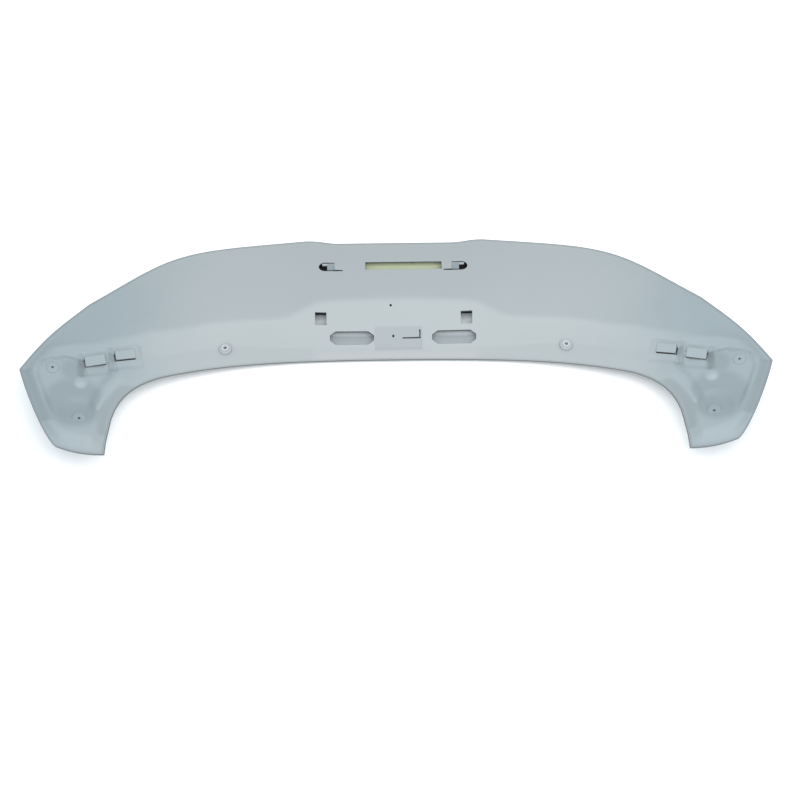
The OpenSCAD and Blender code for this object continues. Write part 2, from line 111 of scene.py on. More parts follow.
# The skin's edge: gaps to the panel, the easing of the rim, the mesh's lines and the height of the side
BOND_GAP = 0.2
EDGE_GAP = 0.4
RIM_EASE = 0.3
RIM_STEPS = (0, 0.4, 0.9, 1.4)
LEDGE_STEPS = (4.2, 5.5, 7, 8.5, 10)
SKIN_EDGE_H = 1.5

# Arm recess, bowl and dome
RECESS_TOP_Y = -33.0
RECESS_TOP_WALL = 3.0
RECESS_TIP_DROP = 12.0
RECESS_TIP_X = (HALF_W - 70, HALF_W - 32)
RECESS_S = (0.70, 0.73)
RECESS_END_S = 0.86
RECESS_GONE_S = 0.93
RECESS_SLOPE = 10.0
RECESS_INNER_SLOPE = 20.0
RECESS_REACH = 13.0
RECESS_REACH_S = (0.765, 0.80)
UPPER_SCREW = np.array([HALF_W - 51, -56])
LOWER_SCREW = np.array([HALF_W - 102, -147])
BOWL_CENTRE = LOWER_SCREW + [2, 12]
DOME_CENTRE = np.array([LOWER_SCREW[0] + 5, UPPER_SCREW[1] - 22])
DOME_R = 11.0
DOME_FLAT = 2.0
DOME_H = 2.5
BOWL_SLOPE = 14.0

# Discs, rings and arcs in plan with painted shade in the hollows, along the arch and on the bevel, and
# painted highlights on the arch line and the dome:
# middle, radius, half the width, middle of the span along y, half the span and softness
HOLLOW_SHADE = (HALF_W - 91, -118, 0, 38, -118, FAR, 18)
RECESS_CORNER_SHADE = (HALF_W - 82, -55, 0, 9, -55, FAR, 16)
ARCH_SHADE = (363, -153, 121, 2, -122, 46, 9)
ARCH_HIGHLIGHT = (363, -153, 132, 0, -95, 30, 5)
BEVEL_SHADE = (187, 72, 446, 8, -112, 44, 6)
DOME_HIGHLIGHT = (*DOME_CENTRE, 0, 5, DOME_CENTRE[1], FAR, 9)

# Rectangles in plan: low x, high x, low y, high y and softness
# Painted light on the middle of the leading edge
LIP_LIGHT_ZONE = (-130, 130, -5, 4, 22)

# Painted shade beside each pad: middle past the pad's side and its middle, half sizes and softness
PAD_SHADE = (5, -16, 4, 15, 3)

# Painted shade on each tongue: low y and high y from the slot's middle, and softness
TONGUE_SHADE = (-6, 7, 1)

# Bands across the skin's inside: low y, high y, softness and finish; the dark bands are painted shadow, and
# the two overspray tones are partly painted shade and light
INSIDE_BANDS = ((0, 50, 7, "overspray_shade"), (62, 70, 2, "inside_shadow"),
                (74, 95, 1, "overspray_light"), (98, 260, 1, "inside_shadow"))

# Clip pads on the arms
PAD_SIZE = np.array([34.0, 17.0])
PAD_TURN = math.radians(16)
PADS = (np.array([HALF_W - 116.5, -34]), np.array([HALF_W - 163.5, -16]))
PAD_MARGINS = (4, 10)
PAD_POCKET = 3.0
PAD_STRIP = 2.5
PAD_FRONT = 0.9
PAD_SLIT = 1.7
PAD_SLIT_REACH = 0.35
PAD_EASE = 0.6
PAD_LEVELS = (-6.5, -0.4, 0.2)

# Where the pads' pockets start and reach their full depth, past the pad's own sides
POCKET_OUTER = np.array([4, 14])
POCKET_FRONT = np.array([20, 11])
POCKET_BACK = np.array([3, 6])
POCKET_STEP = np.array([-4, 2])
POCKET_WALL = 3.0

# Openings near the middle
CLIP_MID = -3.0
OBROUND_MID = 13.0
WINDOW = (15.5, 186.0, 137.0, 20.0)
OBROUND = (89.0, 39.0, 77.0, 21.0)
OBROUND_CUT = (10.0, 6.5)
CLIP_HOLE = (127.0, 69.0, 20.0)
HOOK = (119.0, 184.3, 28.0, 22.4)
TONGUE_W = 13.0
TONGUE_GAPS = (5.4, 3.0)
TONGUE_DROP = 1.5
TONGUE_ARM = (9.0, 4.0)
TONGUE_T = 2.6
TONGUE_HOLD = 1.0
HOOK_SLIT = 15.0
SLIT_W = 2.4
HOOK_SLIT_W = (1.2 * SLIT_W, 1.6 * SLIT_W)
PLATE = (5.0, 38.0, 82.0, 36.0)
PLATE_SINK = 1.2
PLATE_WALL = np.array([-2, 1])
PLATE_SLIT = (34.0, 14.0)
LOCATORS = ((-8.0, 90.0), (-4.0, 42.2))
LOCATOR_R = 2.1
FRONT_BOSS = np.array([295.0, 16.0])
CUT_REACH = 30.0

# Bosses: rise, depth of the hole, depth below the panel and lip
FRONT_BOSS_FORM = (4.0, 9.1, 11, 1.6)
ARM_BOSS_FORM = (1.2, 6, 8, 0.6)
INSERT_SEAT_R = 4.6
LOWER_BOSS_EXTRA = 1.0
FRONT_CLEAR_R = 8
ARM_CLEAR_R = 6
FIXING_REACH = 12

# Threads in the inserts
THREAD_TURNS = 9.0
THREAD_RIDGE = 0.32
THREAD_LIFT = 0.0004


def length_setting(name, description, default):
    return bpy.props.FloatProperty(name=name, description=description, default=default, unit="LENGTH")


def colour_setting(name, description, default):
    return bpy.props.FloatVectorProperty(
        name=name, description=description, default=default, subtype="COLOR", size=3)


def setting_names(group):
    return [key for key in group.bl_rna.properties.keys() if key not in ("rna_type", "name")]


class SpoilerShape(bpy.types.PropertyGroup):
    """Sizes that a user would change."""

    wall: length_setting("Wall", "Thickness of both shells", 0.003)
    rim_height: length_setting("Rim height", "Height of the skin's turned-up rim", 0.009)
    turn_radius: length_setting("Turn radius", "Radius over which the skin turns up", 0.010)
    rim_wall: length_setting("Rim wall", "Width of the rim around the panel", 0.003)
    ledge: length_setting("Ledge", "Width of the bonding ledge", 0.012)
    land: length_setting("Land", "Width of the panel's flat edge", 0.006)
    crown: length_setting("Crown", "Height gained towards the side tips", 0.098)
    arm_rise: length_setting("Arm rise", "Extra height of the arm ends", 0.016)
    bevel: length_setting("Arm bevel", "Width of the bevel along the arms", 0.024)
    recess: length_setting("Arm recess", "Depth of the arm recess", 0.006)
    bowl: length_setting("Bowl depth", "Depth of the bowl at the lower screw", 0.004)
    bowl_radius: length_setting("Bowl radius", "Radius of that bowl", 0.033)
    front_boss: length_setting("Front boss", "Diameter of the front bosses", 0.023)
    arm_boss: length_setting("Arm boss", "Diameter of the arm bosses", 0.020)
    pilot: length_setting("Pilot hole", "Diameter of the arm screws' holes", 0.0043)
    insert_bore: length_setting("Insert bore", "Bore of the threaded inserts", 0.006)
    pitch: length_setting("Thread pitch", "Pitch of the inserts' thread", 0.001)


class SpoilerFinish(bpy.types.PropertyGroup):
    """Colours and surface values that a user would change."""

    primer: colour_setting("Primer", "Grey primer", (0.286, 0.309, 0.313))
    # Painted shade: darker primer on the arms
    arm_shade_primer: colour_setting("Arm shade", "Darker primer on the arms, as painted shade", (0.222, 0.262, 0.280))
    # Painted shade in the arm hollows, the recess corner and the bevel band, on the tongues and beside the
    # inner pads
    hollow_shade: colour_setting("Hollow shade", "Painted shade in the arm hollows", (0.186, 0.220, 0.236))
    # Painted shade along the arm's inner side
    band_shade: colour_setting("Band shade", "Painted shade along the arm's inner side", (0.203, 0.236, 0.249))
    # Painted highlight on the arm's dome and, mixed with the arm tone, along the arch line
    highlight_primer: colour_setting("Highlight primer", "Painted highlight on the arm's dome", (0.256, 0.295, 0.313))
    # Painted shade on the pocket walls beside the outer pads
    wall_shade: colour_setting("Wall shade", "Painted shade on the pocket walls", (0.165, 0.195, 0.208))
    # Painted light at the middle of the leading edge
    lip_light: colour_setting("Lip light", "Painted light at the leading edge's middle", (0.318, 0.328, 0.336))
    # Painted shade on the sunk centre plate
    plate_shade: colour_setting("Plate shade", "Painted shade on the sunk centre plate", (0.254, 0.276, 0.286))
    raw: colour_setting("Raw plastic", "Ivory plastic inside the shell", (0.53, 0.58, 0.40))
    overspray: colour_setting("Overspray", "Primer that drifted inside", (0.62, 0.67, 0.69))
    # Overspray, partly real and partly darkened as painted shade
    overspray_shade: colour_setting("Overspray shade", "Overspray near the leading edge, darkened as painted shade", (0.325, 0.36, 0.378))
    # Overspray, partly real and partly lightened as painted light
    overspray_light: colour_setting("Pale overspray", "Overspray behind the clip openings", (0.76, 0.82, 0.85))
    # Painted shadow: dark bands inside the shell
    inside_shadow: colour_setting("Hidden", "Painted shadow inside the shell", (0.02, 0.02, 0.02))
    # Painted shade at the openings' edges, along the pads' slits and on the rim
    edge: colour_setting("Edge shade", "Painted shade at the edges", (0.10, 0.105, 0.105))
    steel: colour_setting("Steel", "Threaded inserts", (0.62, 0.64, 0.65))
    floor: colour_setting("Floor", "Studio floor", (0.87, 0.87, 0.87))
    roughness: bpy.props.FloatProperty(
        name="Roughness", description="Roughness of the primer", default=0.58, subtype="FACTOR")


def ramp(low, high, value):
    return np.clip((value - low) / (high - low), 0, 1)


def ease(low, high, value):
    t = ramp(low, high, value)
    return t * t * (3 - 2 * t)


def bezier(points, t):
    p = [np.asarray(q, float) for q in points]
    t = np.asarray(t, float)[..., None]
    u = 1 - t
    return u ** 3 * p[0] + 3 * u * u * t * p[1] + 3 * u * t * t * p[2] + t ** 3 * p[3]


def bend(x, radius):
    """0 before a bend and x after it, rounded over the radius on each side."""
    radius = np.maximum(radius, 1e-6)
    return np.where(x < -radius, 0, np.where(x > radius, x, (x + radius) ** 2 / (4 * radius)))


def outer_edge(s):
    """Plan points of the trailing edge, side edge and arm side at the stations s."""
    s = np.asarray(s, float)
    x = SHOULDER[0] * s / SHOULDER_S
    straight = np.stack([x, CENTRE_DEPTH + NOTCH_DEPTH * ease(NOTCH_HALF, NOTCH_END, x)], -1)
    trailing = bezier(TRAILING_CURVE, ramp(SHOULDER_S, CORNER_S, s))
    side = bezier(SIDE_CURVE, ramp(CORNER_S, TIP_S, s))
    arm = bezier(ARM_CURVE, ramp(TIP_S, 1, s))
    k = s[..., None]
    rear = np.where(k < SHOULDER_S, straight, trailing)
    return np.where(k < CORNER_S, rear, np.where(k < TIP_S, side, arm))


def inner_edge(s):
    """Plan points of the leading edge and the arm's inner side at the stations s."""
    s = np.asarray(s, float)
    t = np.clip(s / ARCH_S, 0, 1)
    leading = np.stack([ARCH[0] * t, ARCH[1] * t ** ARCH_POWER], -1)
    arch = bezier(ARCH_CURVE, ramp(ARCH_S, 1, s))
    return np.where(s[..., None] < ARCH_S, leading, arch)


def section_value(s, values):
    """Value at the stations s, eased between the rows of the section table."""
    s = np.asarray(s, float)
    i = np.clip(np.searchsorted(SECTION_S, s, side="right") - 1, 0, len(SECTION_S) - 2)
    t = ease(SECTION_S[i], SECTION_S[i + 1], s)
    return values[i] + (values[i + 1] - values[i]) * t


class Surfaces:
    """The height functions of both shells, in millimetres."""

    def __init__(self, shape):
        for key in setting_names(shape):
            setattr(self, key, getattr(shape, key) / MM)
        self.ledge_h = self.rim_height - self.wall - BOND_GAP
        self.panel_edge = self.rim_wall + EDGE_GAP

    def base(self, x, y):
        crown = self.crown * (np.clip(np.abs(x) - CROWN_FLAT, 0, None) / (HALF_W - CROWN_FLAT)) ** CROWN_POWER
        return crown + self.arm_rise * (np.clip(ARM_RISE_Y - y, 0, None) / (ARM_RISE_Y - ARM_INNER[1])) ** 2

    def section(self, s, d, length):
        """Height of the panel's section above the rim."""
        foot, foot_h, crest_h = (section_value(s, v) for v in (FOOT_D, FOOT_H, CREST_H))
        crest = np.minimum(section_value(s, CREST_D), length - self.bevel)
        last = length - self.land
        lip = foot_h / (foot - self.land)
        slope = (crest_h - foot_h) / (crest - foot)
        fall = -crest_h / (last - crest)
        return (lip * bend(d - self.land, LAND_ROUND) + (slope - lip) * bend(d - foot, FOOT_ROUND)
                + (fall - slope) * bend(d - crest, CREST_ROUND) - fall * bend(d - last, LAND_ROUND))

    def arm_recess(self, x, y, s, d, length):
        foot = section_value(s, FOOT_D)
        outer = length - self.bevel + RECESS_REACH * (1 - ease(*RECESS_REACH_S, s))
        inside = ease(foot, foot + RECESS_INNER_SLOPE, d) * (1 - ease(outer - RECESS_SLOPE, outer, d))
        top = RECESS_TOP_Y - RECESS_TIP_DROP * ease(*RECESS_TIP_X, np.abs(x))
        along = (1 - ease(top - RECESS_TOP_WALL, top, y)) * (1 - ease(RECESS_END_S, RECESS_GONE_S, s))
        return -self.recess * inside * along * ease(*RECESS_S, s)

    def bowl_and_dome(self, x, y):
        p = np.stack([np.abs(x), y], -1)
        to_bowl = np.linalg.norm(p - BOWL_CENTRE, axis=-1)
        to_dome = np.linalg.norm(p - DOME_CENTRE, axis=-1)
        return (-self.bowl * (1 - ease(self.bowl_radius - BOWL_SLOPE, self.bowl_radius, to_bowl))
                + DOME_H * (1 - ease(DOME_FLAT, DOME_R, to_dome)))

    def pad_pockets(self, x, y):
        """The shallow pocket around each clip pad, wider on the pad's outer side."""
        depth = np.zeros_like(x)
        for centre, margin in zip(PADS, PAD_MARGINS):
            u, v = pad_axes(np.abs(x) - centre[0], y - centre[1])
            half_u, half_v = PAD_SIZE / 2
            inner = -half_u - margin
            inside = (ease(inner, inner + POCKET_WALL, u) * (1 - ramp(*(half_u + POCKET_OUTER), u))
                      * ease(*(-half_v - POCKET_FRONT), v) * (1 - ease(*(half_v + POCKET_BACK), v)))
            strip = ease(half_u, half_u + POCKET_WALL, u)
            front = ease(*(half_v + POCKET_STEP), -v)
            depth = np.maximum(depth, inside * (PAD_POCKET + PAD_STRIP * strip - PAD_FRONT * front))
        return -depth

    def plate(self, x, y):
        cx, cy, w, d = PLATE
        inside = ((1 - ease(*(w / 2 + PLATE_WALL), np.abs(x - cx)))
                  * (1 - ease(*(d / 2 + PLATE_WALL), np.abs(y - cy))))
        return -PLATE_SINK * inside

    def panel(self, x, y, s, d, length, end_d):
        """Upper face of the inner panel."""
        relief = (self.section(s, d, length) + self.arm_recess(x, y, s, d, length)
                  + self.bowl_and_dome(x, y) + self.pad_pockets(x, y))
        return (self.base(x, y) + self.rim_height + relief * ease(self.land, ARM_END_BEVEL, end_d)
                + self.plate(x, y))

    def panel_at(self, x, y):
        """Height of the panel at single plan points, with the station found by halving."""
        x, y = np.atleast_1d(np.asarray(x, float)), np.atleast_1d(np.asarray(y, float))
        low, high = np.zeros_like(x), np.ones_like(x)
        for _ in range(30):
            s = (low + high) / 2
            a = inner_edge(s)
            r = outer_edge(s) - a
            left = r[..., 0] * (y - a[..., 1]) - r[..., 1] * (np.abs(x) - a[..., 0]) > 0
            high = np.where(left, s, high)
            low = np.where(left, low, s)
        a, b = inner_edge(s), outer_edge(s)
        d = np.hypot(np.abs(x) - a[..., 0], y - a[..., 1])
        return self.panel(x, y, s, d, np.linalg.norm(b - a, axis=-1), np.full_like(x, FAR))

    def height(self, x, y):
        return float(self.panel_at(x, y)[0])

    def skin_top(self, e):
        """Upper face of the skin above the base: rim, ledge and inside."""
        toe = self.rim_wall + self.ledge
        inside = self.ledge_h + (self.wall - self.ledge_h) * ramp(toe, toe + self.wall, e)
        rim = self.rim_height - RIM_EASE * (1 - ramp(0, EDGE_GAP, e))
        return np.where(e < self.rim_wall + 0.1, rim, inside)

    def skin_bottom(self, e):
        turn = 1 - ramp(0, self.turn_radius, e)
        return (self.rim_height - SKIN_EDGE_H) * (1 - np.sqrt(1 - turn ** 2))


def pad_axes(dx, dy):
    """A clip pad's own axes, on the right-hand side."""
    c, s = math.cos(PAD_TURN), math.sin(PAD_TURN)
    return dx * c - dy * s, dx * s + dy * c


def rib_table(centre_ribs, arm_ribs, end_steps):
    """Side, outer station, inner station and distance from the arm end of each rib."""
    s = np.concatenate([np.linspace(0, CORNER_S, centre_ribs + 1),
                        np.linspace(CORNER_S, ARM_END_S, arm_ribs + 1)[1:]])
    ends = np.asarray(end_steps, float)
    outer_speed = 3 * np.linalg.norm(ARM_CURVE[3] - ARM_CURVE[2]) / (1 - TIP_S)
    inner_speed = 3 * np.linalg.norm(ARCH_CURVE[3] - ARCH_CURVE[2]) / (1 - ARCH_S)
    outer = np.concatenate([s, 1 - ends / outer_speed])
    inner = np.concatenate([s, 1 - ends / inner_speed])
    end_d = np.concatenate([np.full(len(s), FAR), ends])
    side = np.concatenate([-np.ones(len(outer) - 1), np.ones(len(outer))])
    both = [np.concatenate([v[:0:-1], v]) for v in (outer, inner, end_d)]
    return (side, *both)


def plan_grid(ribs, steps):
    """Plan points, distances across and lengths for ribs crossed at steps(length)."""
    side, outer, inner, _ = ribs
    a, b = inner_edge(inner), outer_edge(outer)
    length = np.linalg.norm(b - a, axis=-1)[:, None]
    d = steps(length)
    t = d / length
    bow = ARM_END_BOW * 4 * t * (1 - t) * ease(TIP_S, 1, (outer + inner) / 2)[:, None]
    x = side[:, None] * (a[:, None, 0] + (b - a)[:, None, 0] * t)
    y = a[:, None, 1] + (b - a)[:, None, 1] * t - bow
    return x, y, d, np.broadcast_to(length, d.shape)


def outline_middle():
    """Y of the middle of the plan box, which is the origin."""
    x, y, _, _ = plan_grid(rib_table(*SOLID_RIBS, SOLID_ENDS), lambda length: length * np.linspace(0, 1, 41))
    return (y.min() + y.max()) / 2


MID_Y = outline_middle()
TO_ORIGIN = Matrix.Translation((0, -MID_Y * MM, 0))


def to_metres(x, y, z):
    return np.stack([x, y - MID_Y, z], -1) * MM


def shell_mesh(name, upper, lower):
    """A closed mesh between two faces given as grids of points."""
    rows, columns = upper.shape[:2]
    count = rows * columns
    at = np.arange(count).reshape(rows, columns)
    quads = np.stack([at[:-1, :-1], at[1:, :-1], at[1:, 1:], at[:-1, 1:]], -1).reshape(-1, 4)
    rim = np.concatenate([at[:-1, 0], at[-1, :-1], at[:0:-1, -1], at[0, :0:-1]])
    after = np.roll(rim, -1)
    sides = np.stack([rim + count, after + count, after, rim], -1)
    faces = np.concatenate([quads, quads[:, ::-1] + count, sides])
    points = np.concatenate([upper.reshape(-1, 3), lower.reshape(-1, 3)])
    mesh = bpy.data.meshes.new(name)
    mesh.from_pydata(points.tolist(), [], faces.tolist())
    mesh.validate()
    return mesh


def add_object(name, mesh):
    obj = bpy.data.objects.new(name, mesh)
    bpy.context.scene.collection.objects.link(obj)
    return obj


def smooth(mesh, degrees):
    """Smooth shading with sharp edges past an angle."""
    mesh.polygons.foreach_set("use_smooth", np.ones(len(mesh.polygons), bool))
    mesh.set_sharp_from_angle(angle=math.radians(degrees))
    mesh.update()


def rounded(outline, radius, turns=5):
    """A closed outline with its corners eased over about the radius."""
    points = []
    for i, here in enumerate(outline):
        here = Vector(here)
        back = Vector(outline[i - 1]) - here
        ahead = Vector(outline[(i + 1) % len(outline)]) - here
        half = back.angle(ahead) / 2
        reach = min(radius / math.tan(half), 0.49 * back.length, 0.49 * ahead.length)
        start, end = here + back.normalized() * reach, here + ahead.normalized() * reach
        for k in range(turns + 1):
            t = k / turns
            points.append((1 - t) ** 2 * start + 2 * t * (1 - t) * here + t * t * end)
    return points


def rectangle(cx, cy, w, d, radius=1.2):
    x, y = w / 2, d / 2
    return rounded([(cx - x, cy - y), (cx + x, cy - y), (cx + x, cy + y), (cx - x, cy + y)], radius)


def add_ring(bm, outline, z, place):
    """Vertices along an outline at a height, given in millimetres and added in metres."""
    return [bm.verts.new(place @ Vector((p[0] * MM, p[1] * MM, z * MM))) for p in outline]


def stack(bm, levels, place=Matrix()):
    """A closed body through outlines at rising heights; gives back its side faces with their place."""
    rings = [add_ring(bm, outline, z, place) for outline, z in levels]
    bm.faces.new(rings[0][::-1])
    bm.faces.new(rings[-1])
    sides = []
    for low, high in zip(rings, rings[1:]):
        for i in range(len(low)):
            j = (i + 1) % len(low)
            sides.append((i, bm.faces.new([low[i], low[j], high[j], high[i]])))
    return sides


def prism(bm, outline, low, high, place):
    stack(bm, ((outline, low), (outline, high)), place)


def circle(cx, cy, radius, count=40):
    return [(cx + radius * math.cos(2 * math.pi * i / count),
             cy + radius * math.sin(2 * math.pi * i / count)) for i in range(count)]


def lathe(bm, profile, place, count=48):
    """A closed turned piece from a profile of (radius, height) that starts and ends on the axis."""
    rings = [add_ring(bm, circle(0, 0, r, count) if r else [(0, 0)], z, place) for r, z in profile]
    for low, high in zip(rings, rings[1:]):
        for i in range(count):
            j = (i + 1) % count
            if len(low) == 1:
                bm.faces.new([low[0], high[j], high[i]])
            elif len(high) == 1:
                bm.faces.new([low[i], low[j], high[0]])
            else:
                bm.faces.new([low[i], low[j], high[j], high[i]])


def mesh_from(bm, name):
    bmesh.ops.remove_doubles(bm, verts=bm.verts, dist=1e-7)
    bmesh.ops.recalc_face_normals(bm, faces=bm.faces)
    mesh = bpy.data.meshes.new(name)
    bm.to_mesh(mesh)
    bm.free()
    return mesh


def hook_outline(side):
    """The hook slot: round on the outer side, with a thin slit on the inner side."""
    x, y, w, d = HOOK
    cx, r = side * x + CLIP_MID, d / 2
    inner, mouth = cx - side * w / 2, cx + side * (w / 2 - r)
    arc = [(mouth + side * r * math.sin(a), y + r * math.cos(a)) for a in np.linspace(0, math.pi, 17)]
    slit = [(inner, y - r), (inner - side * HOOK_SLIT, y - r),
            (inner - side * HOOK_SLIT, y - r + HOOK_SLIT_W[0]), (inner, y - r + HOOK_SLIT_W[1])]
    outline = arc + slit + [(inner, y + r)]
    return outline if side < 0 else outline[::-1]


def centre_outlines():
    """Outlines of every opening near the middle."""
    outlines = [rectangle(*WINDOW)]
    w, d = OBROUND[2] / 2, OBROUND[3] / 2
    cut_x, cut_y = OBROUND_CUT
    octagon = [(-w, -d + cut_y), (-w + cut_x, -d), (w - cut_x, -d), (w, -d + cut_y),
               (w, d - cut_y), (w - cut_x, d), (-w + cut_x, d), (-w, d - cut_y)]
    for side in (-1, 1):
        cx = OBROUND_MID + side * OBROUND[0]
        outlines.append(rounded([(cx + x, OBROUND[1] + y) for x, y in octagon], 3))
        size = CLIP_HOLE[2]
        outlines.append(rectangle(side * CLIP_HOLE[0] + CLIP_MID, CLIP_HOLE[1], size, size))
        outlines.append(hook_outline(side))
    for x, y in LOCATORS:
        outlines.append(circle(x, y, LOCATOR_R, 24))
    right = PLATE[0] + PLATE[2] / 2
    long, short = PLATE_SLIT
    outlines.append([(right - long, PLATE[1]), (right - SLIT_W, PLATE[1]),
                     (right - SLIT_W, PLATE[1] + short), (right - 2 * SLIT_W, PLATE[1] + short),
                     (right - 2 * SLIT_W, PLATE[1] + SLIT_W), (right - long, PLATE[1] + SLIT_W * 0.8)])
    return outlines


def screw_place(surfaces, side, point):
    """Where a boss stands: on the panel and square to the crown."""
    x, y = point
    reach = 10
    slope = (surfaces.base(x + reach, y) - surfaces.base(x - reach, y)) / (2 * reach)
    at = Vector((side * x, y - MID_Y, surfaces.height(x, y))) * MM
    return Matrix.Translation(at) @ Matrix.Rotation(-side * math.atan(slope), 4, "Y")


def pad_place(surfaces, side, centre):
    """Where a clip pad lies: level with the panel around it and leaning the same way."""
    x, y = centre
    reach_x, reach_y = PAD_SIZE / 2 - 2
    across = (surfaces.height(x + reach_x, y) - surfaces.height(x - reach_x, y)) / (2 * reach_x)
    along = (surfaces.height(x, y + reach_y) - surfaces.height(x, y - reach_y)) / (2 * reach_y)
    at = Vector((side * x, y - MID_Y, surfaces.height(x, y) + PAD_POCKET)) * MM
    tilt = Matrix.Rotation(-side * math.atan(across), 4, "Y")
    lean = Matrix.Rotation(math.atan(along), 4, "X")
    return Matrix.Translation(at) @ tilt @ lean @ Matrix.Rotation(-side * PAD_TURN, 4, "Z")


def pad_slit_outline(side):
    """The L-shaped slit in front of a pad and along its outer side."""
    w, d = PAD_SIZE / 2
    end = PAD_SLIT_REACH * d
    points = [(-w, -d - PAD_SLIT), (w + PAD_SLIT, -d - PAD_SLIT), (w + PAD_SLIT, end),
              (w, end), (w, -d), (-w, -d)]
    outline = [(side * x, y) for x, y in points]
    return outline if side > 0 else outline[::-1]


def panel_cutters(surfaces):
    """One mesh that holds every cutter of the inner panel."""
    bm = bmesh.new()
    for outline in centre_outlines():
        cx = sum(p[0] for p in outline) / len(outline)
        cy = sum(p[1] for p in outline) / len(outline)
        z = surfaces.height(cx, cy)
        prism(bm, outline, z - CUT_REACH, z + CUT_REACH, TO_ORIGIN)
    # The openings' cut faces take the second slot: painted edge shade
    for face in bm.faces:
        face.material_index = 1
    for side in (-1, 1):
        for centre in PADS:
            place = pad_place(surfaces, side, centre)
            prism(bm, pad_slit_outline(side), -FIXING_REACH, FIXING_REACH, place)
        for point, radius in ((FRONT_BOSS, FRONT_CLEAR_R), (UPPER_SCREW, ARM_CLEAR_R),
                              (LOWER_SCREW, ARM_CLEAR_R)):
            place = screw_place(surfaces, side, point)
            prism(bm, circle(0, 0, radius), -FIXING_REACH, FIXING_REACH, place)
    return mesh_from(bm, "cutters")


def boss_profile(radius, bore, rise, depth, below, lip):
    """Half section of a boss with a blind hole and rounded lips, from its axis outwards."""
    return [(0, rise - depth), (bore, rise - depth), (bore, rise - 0.35), (bore + 0.1, rise - 0.1),
            (bore + 0.35, rise), (radius - lip, rise), (radius - 0.3 * lip, rise - 0.3 * lip),
            (radius, rise - lip), (radius, rise - below), (0, rise - below)]


def fittings_mesh(surfaces):
    """Bosses, clip pads and hook tongues, each a closed body of its own."""
    bm = bmesh.new()
    front_r, arm_r = surfaces.front_boss / 2, surfaces.arm_boss / 2
    for side in (-1, 1):
        x, y = FRONT_BOSS
        upright = Matrix.Translation(Vector((side * x, y - MID_Y, surfaces.height(x, y))) * MM)
        lathe(bm, boss_profile(front_r, INSERT_SEAT_R, *FRONT_BOSS_FORM), upright)
        for point, radius in ((UPPER_SCREW, arm_r), (LOWER_SCREW, arm_r + LOWER_BOSS_EXTRA)):
            place = screw_place(surfaces, side, point)
            lathe(bm, boss_profile(radius, surfaces.pilot / 2, *ARM_BOSS_FORM), place)
        for centre in PADS:
            pad_body(bm, pad_place(surfaces, side, centre), side)
        tongue(bm, surfaces, side)
    return mesh_from(bm, "fittings")


def pad_body(bm, place, side):
    """A pad with an eased upper edge and painted shade on its sides where a slit runs along it."""
    w, d = PAD_SIZE
    outline = rectangle(0, 0, w, d, 2)
    inset = rectangle(0, 0, w - 2 * PAD_EASE, d - 2 * PAD_EASE, 1.6)
    for i, face in stack(bm, zip((outline, outline, inset), PAD_LEVELS), place):
        x, y = (outline[i] + outline[(i + 1) % len(outline)]) / 2
        # Painted shade on the sides that a slit runs along
        face.material_index = int(y < 1 - d / 2 or side * x > w / 2 - 0.5)


def tongue(bm, surfaces, side):
    """The sunk tongue in a hook slot: held at the inner side, with a narrow arm along the far side."""
    x, y, w, d = HOOK
    arm_w, arm_d = TONGUE_ARM
    inner = side * (x - w / 2) + CLIP_MID
    z = surfaces.height(side * inner, y) - TONGUE_DROP
    low, far = y - d / 2 + TONGUE_GAPS[0], y + d / 2 - TONGUE_GAPS[1]
    for out, across, centre, deep, top in ((TONGUE_W / 2, TONGUE_W, (low + far) / 2, far - low, z),
                                           (TONGUE_W + arm_w / 2, arm_w, far - arm_d / 2, arm_d, z - 0.02)):
        middle = inner + side * (out - TONGUE_HOLD)
        outline = rectangle(middle, centre, across + 2 * TONGUE_HOLD, deep, 0.8)
        prism(bm, outline, z - TONGUE_T, top, TO_ORIGIN)


def cut(obj, cutter_mesh, edge_shade_tone):
    """Takes the cutters out of a closed piece, with painted shade on the cut edges where the cutters' second
    slot is.
    """
    for material in (obj.data.materials[0], edge_shade_tone):
        cutter_mesh.materials.append(material)
    cutter = add_object("cutters", cutter_mesh)
    modifier = obj.modifiers.new("openings", "BOOLEAN")
    modifier.operation = "DIFFERENCE"
    modifier.solver = "EXACT"
    modifier.material_mode = "TRANSFER"
    modifier.object = cutter
    graph = bpy.context.evaluated_depsgraph_get()
    result = bpy.data.meshes.new_from_object(obj.evaluated_get(graph))
    obj.modifiers.remove(modifier)
    old = obj.data
    obj.data = result
    result.name = old.name
    bpy.data.meshes.remove(old)
    bpy.data.objects.remove(cutter)
    bpy.data.meshes.remove(cutter_mesh)


def join_mesh(obj, mesh):
    """Adds another mesh, with the same material slots, to an object's own."""
    bm = bmesh.new()
    bm.from_mesh(obj.data)
    bm.from_mesh(mesh)
    bm.to_mesh(obj.data)
    bm.free()
    bpy.data.meshes.remove(mesh)


def add_socket(tree, name, kind, into, default=None):
    socket = tree.interface.new_socket(name=name, in_out=into, socket_type=kind)
    if default is not None:
        socket.default_value = default
    return socket


def set_inputs(tree, node, inputs):
    """Gives each input its value, or a link where a socket is given."""
    for key, value in inputs.items():
        if isinstance(value, bpy.types.NodeSocket):
            tree.links.new(value, node.inputs[key])
        else:
            node.inputs[key].default_value = value


def add_node(tree, kind, inputs=None, **settings):
    """A new node; its settings come first, because they decide which inputs it has."""
    node = tree.nodes.new(kind)
    for key, value in settings.items():
        setattr(node, key, value)
    set_inputs(tree, node, inputs or {})
    return node


def object_place(tree):
    return add_node(tree, "ShaderNodeTexCoord").outputs["Object"]


def maths(tree, operation, *values):
    """What a Math node makes of values or sockets."""
    return add_node(tree, "ShaderNodeMath", dict(enumerate(values)), operation=operation).outputs["Value"]


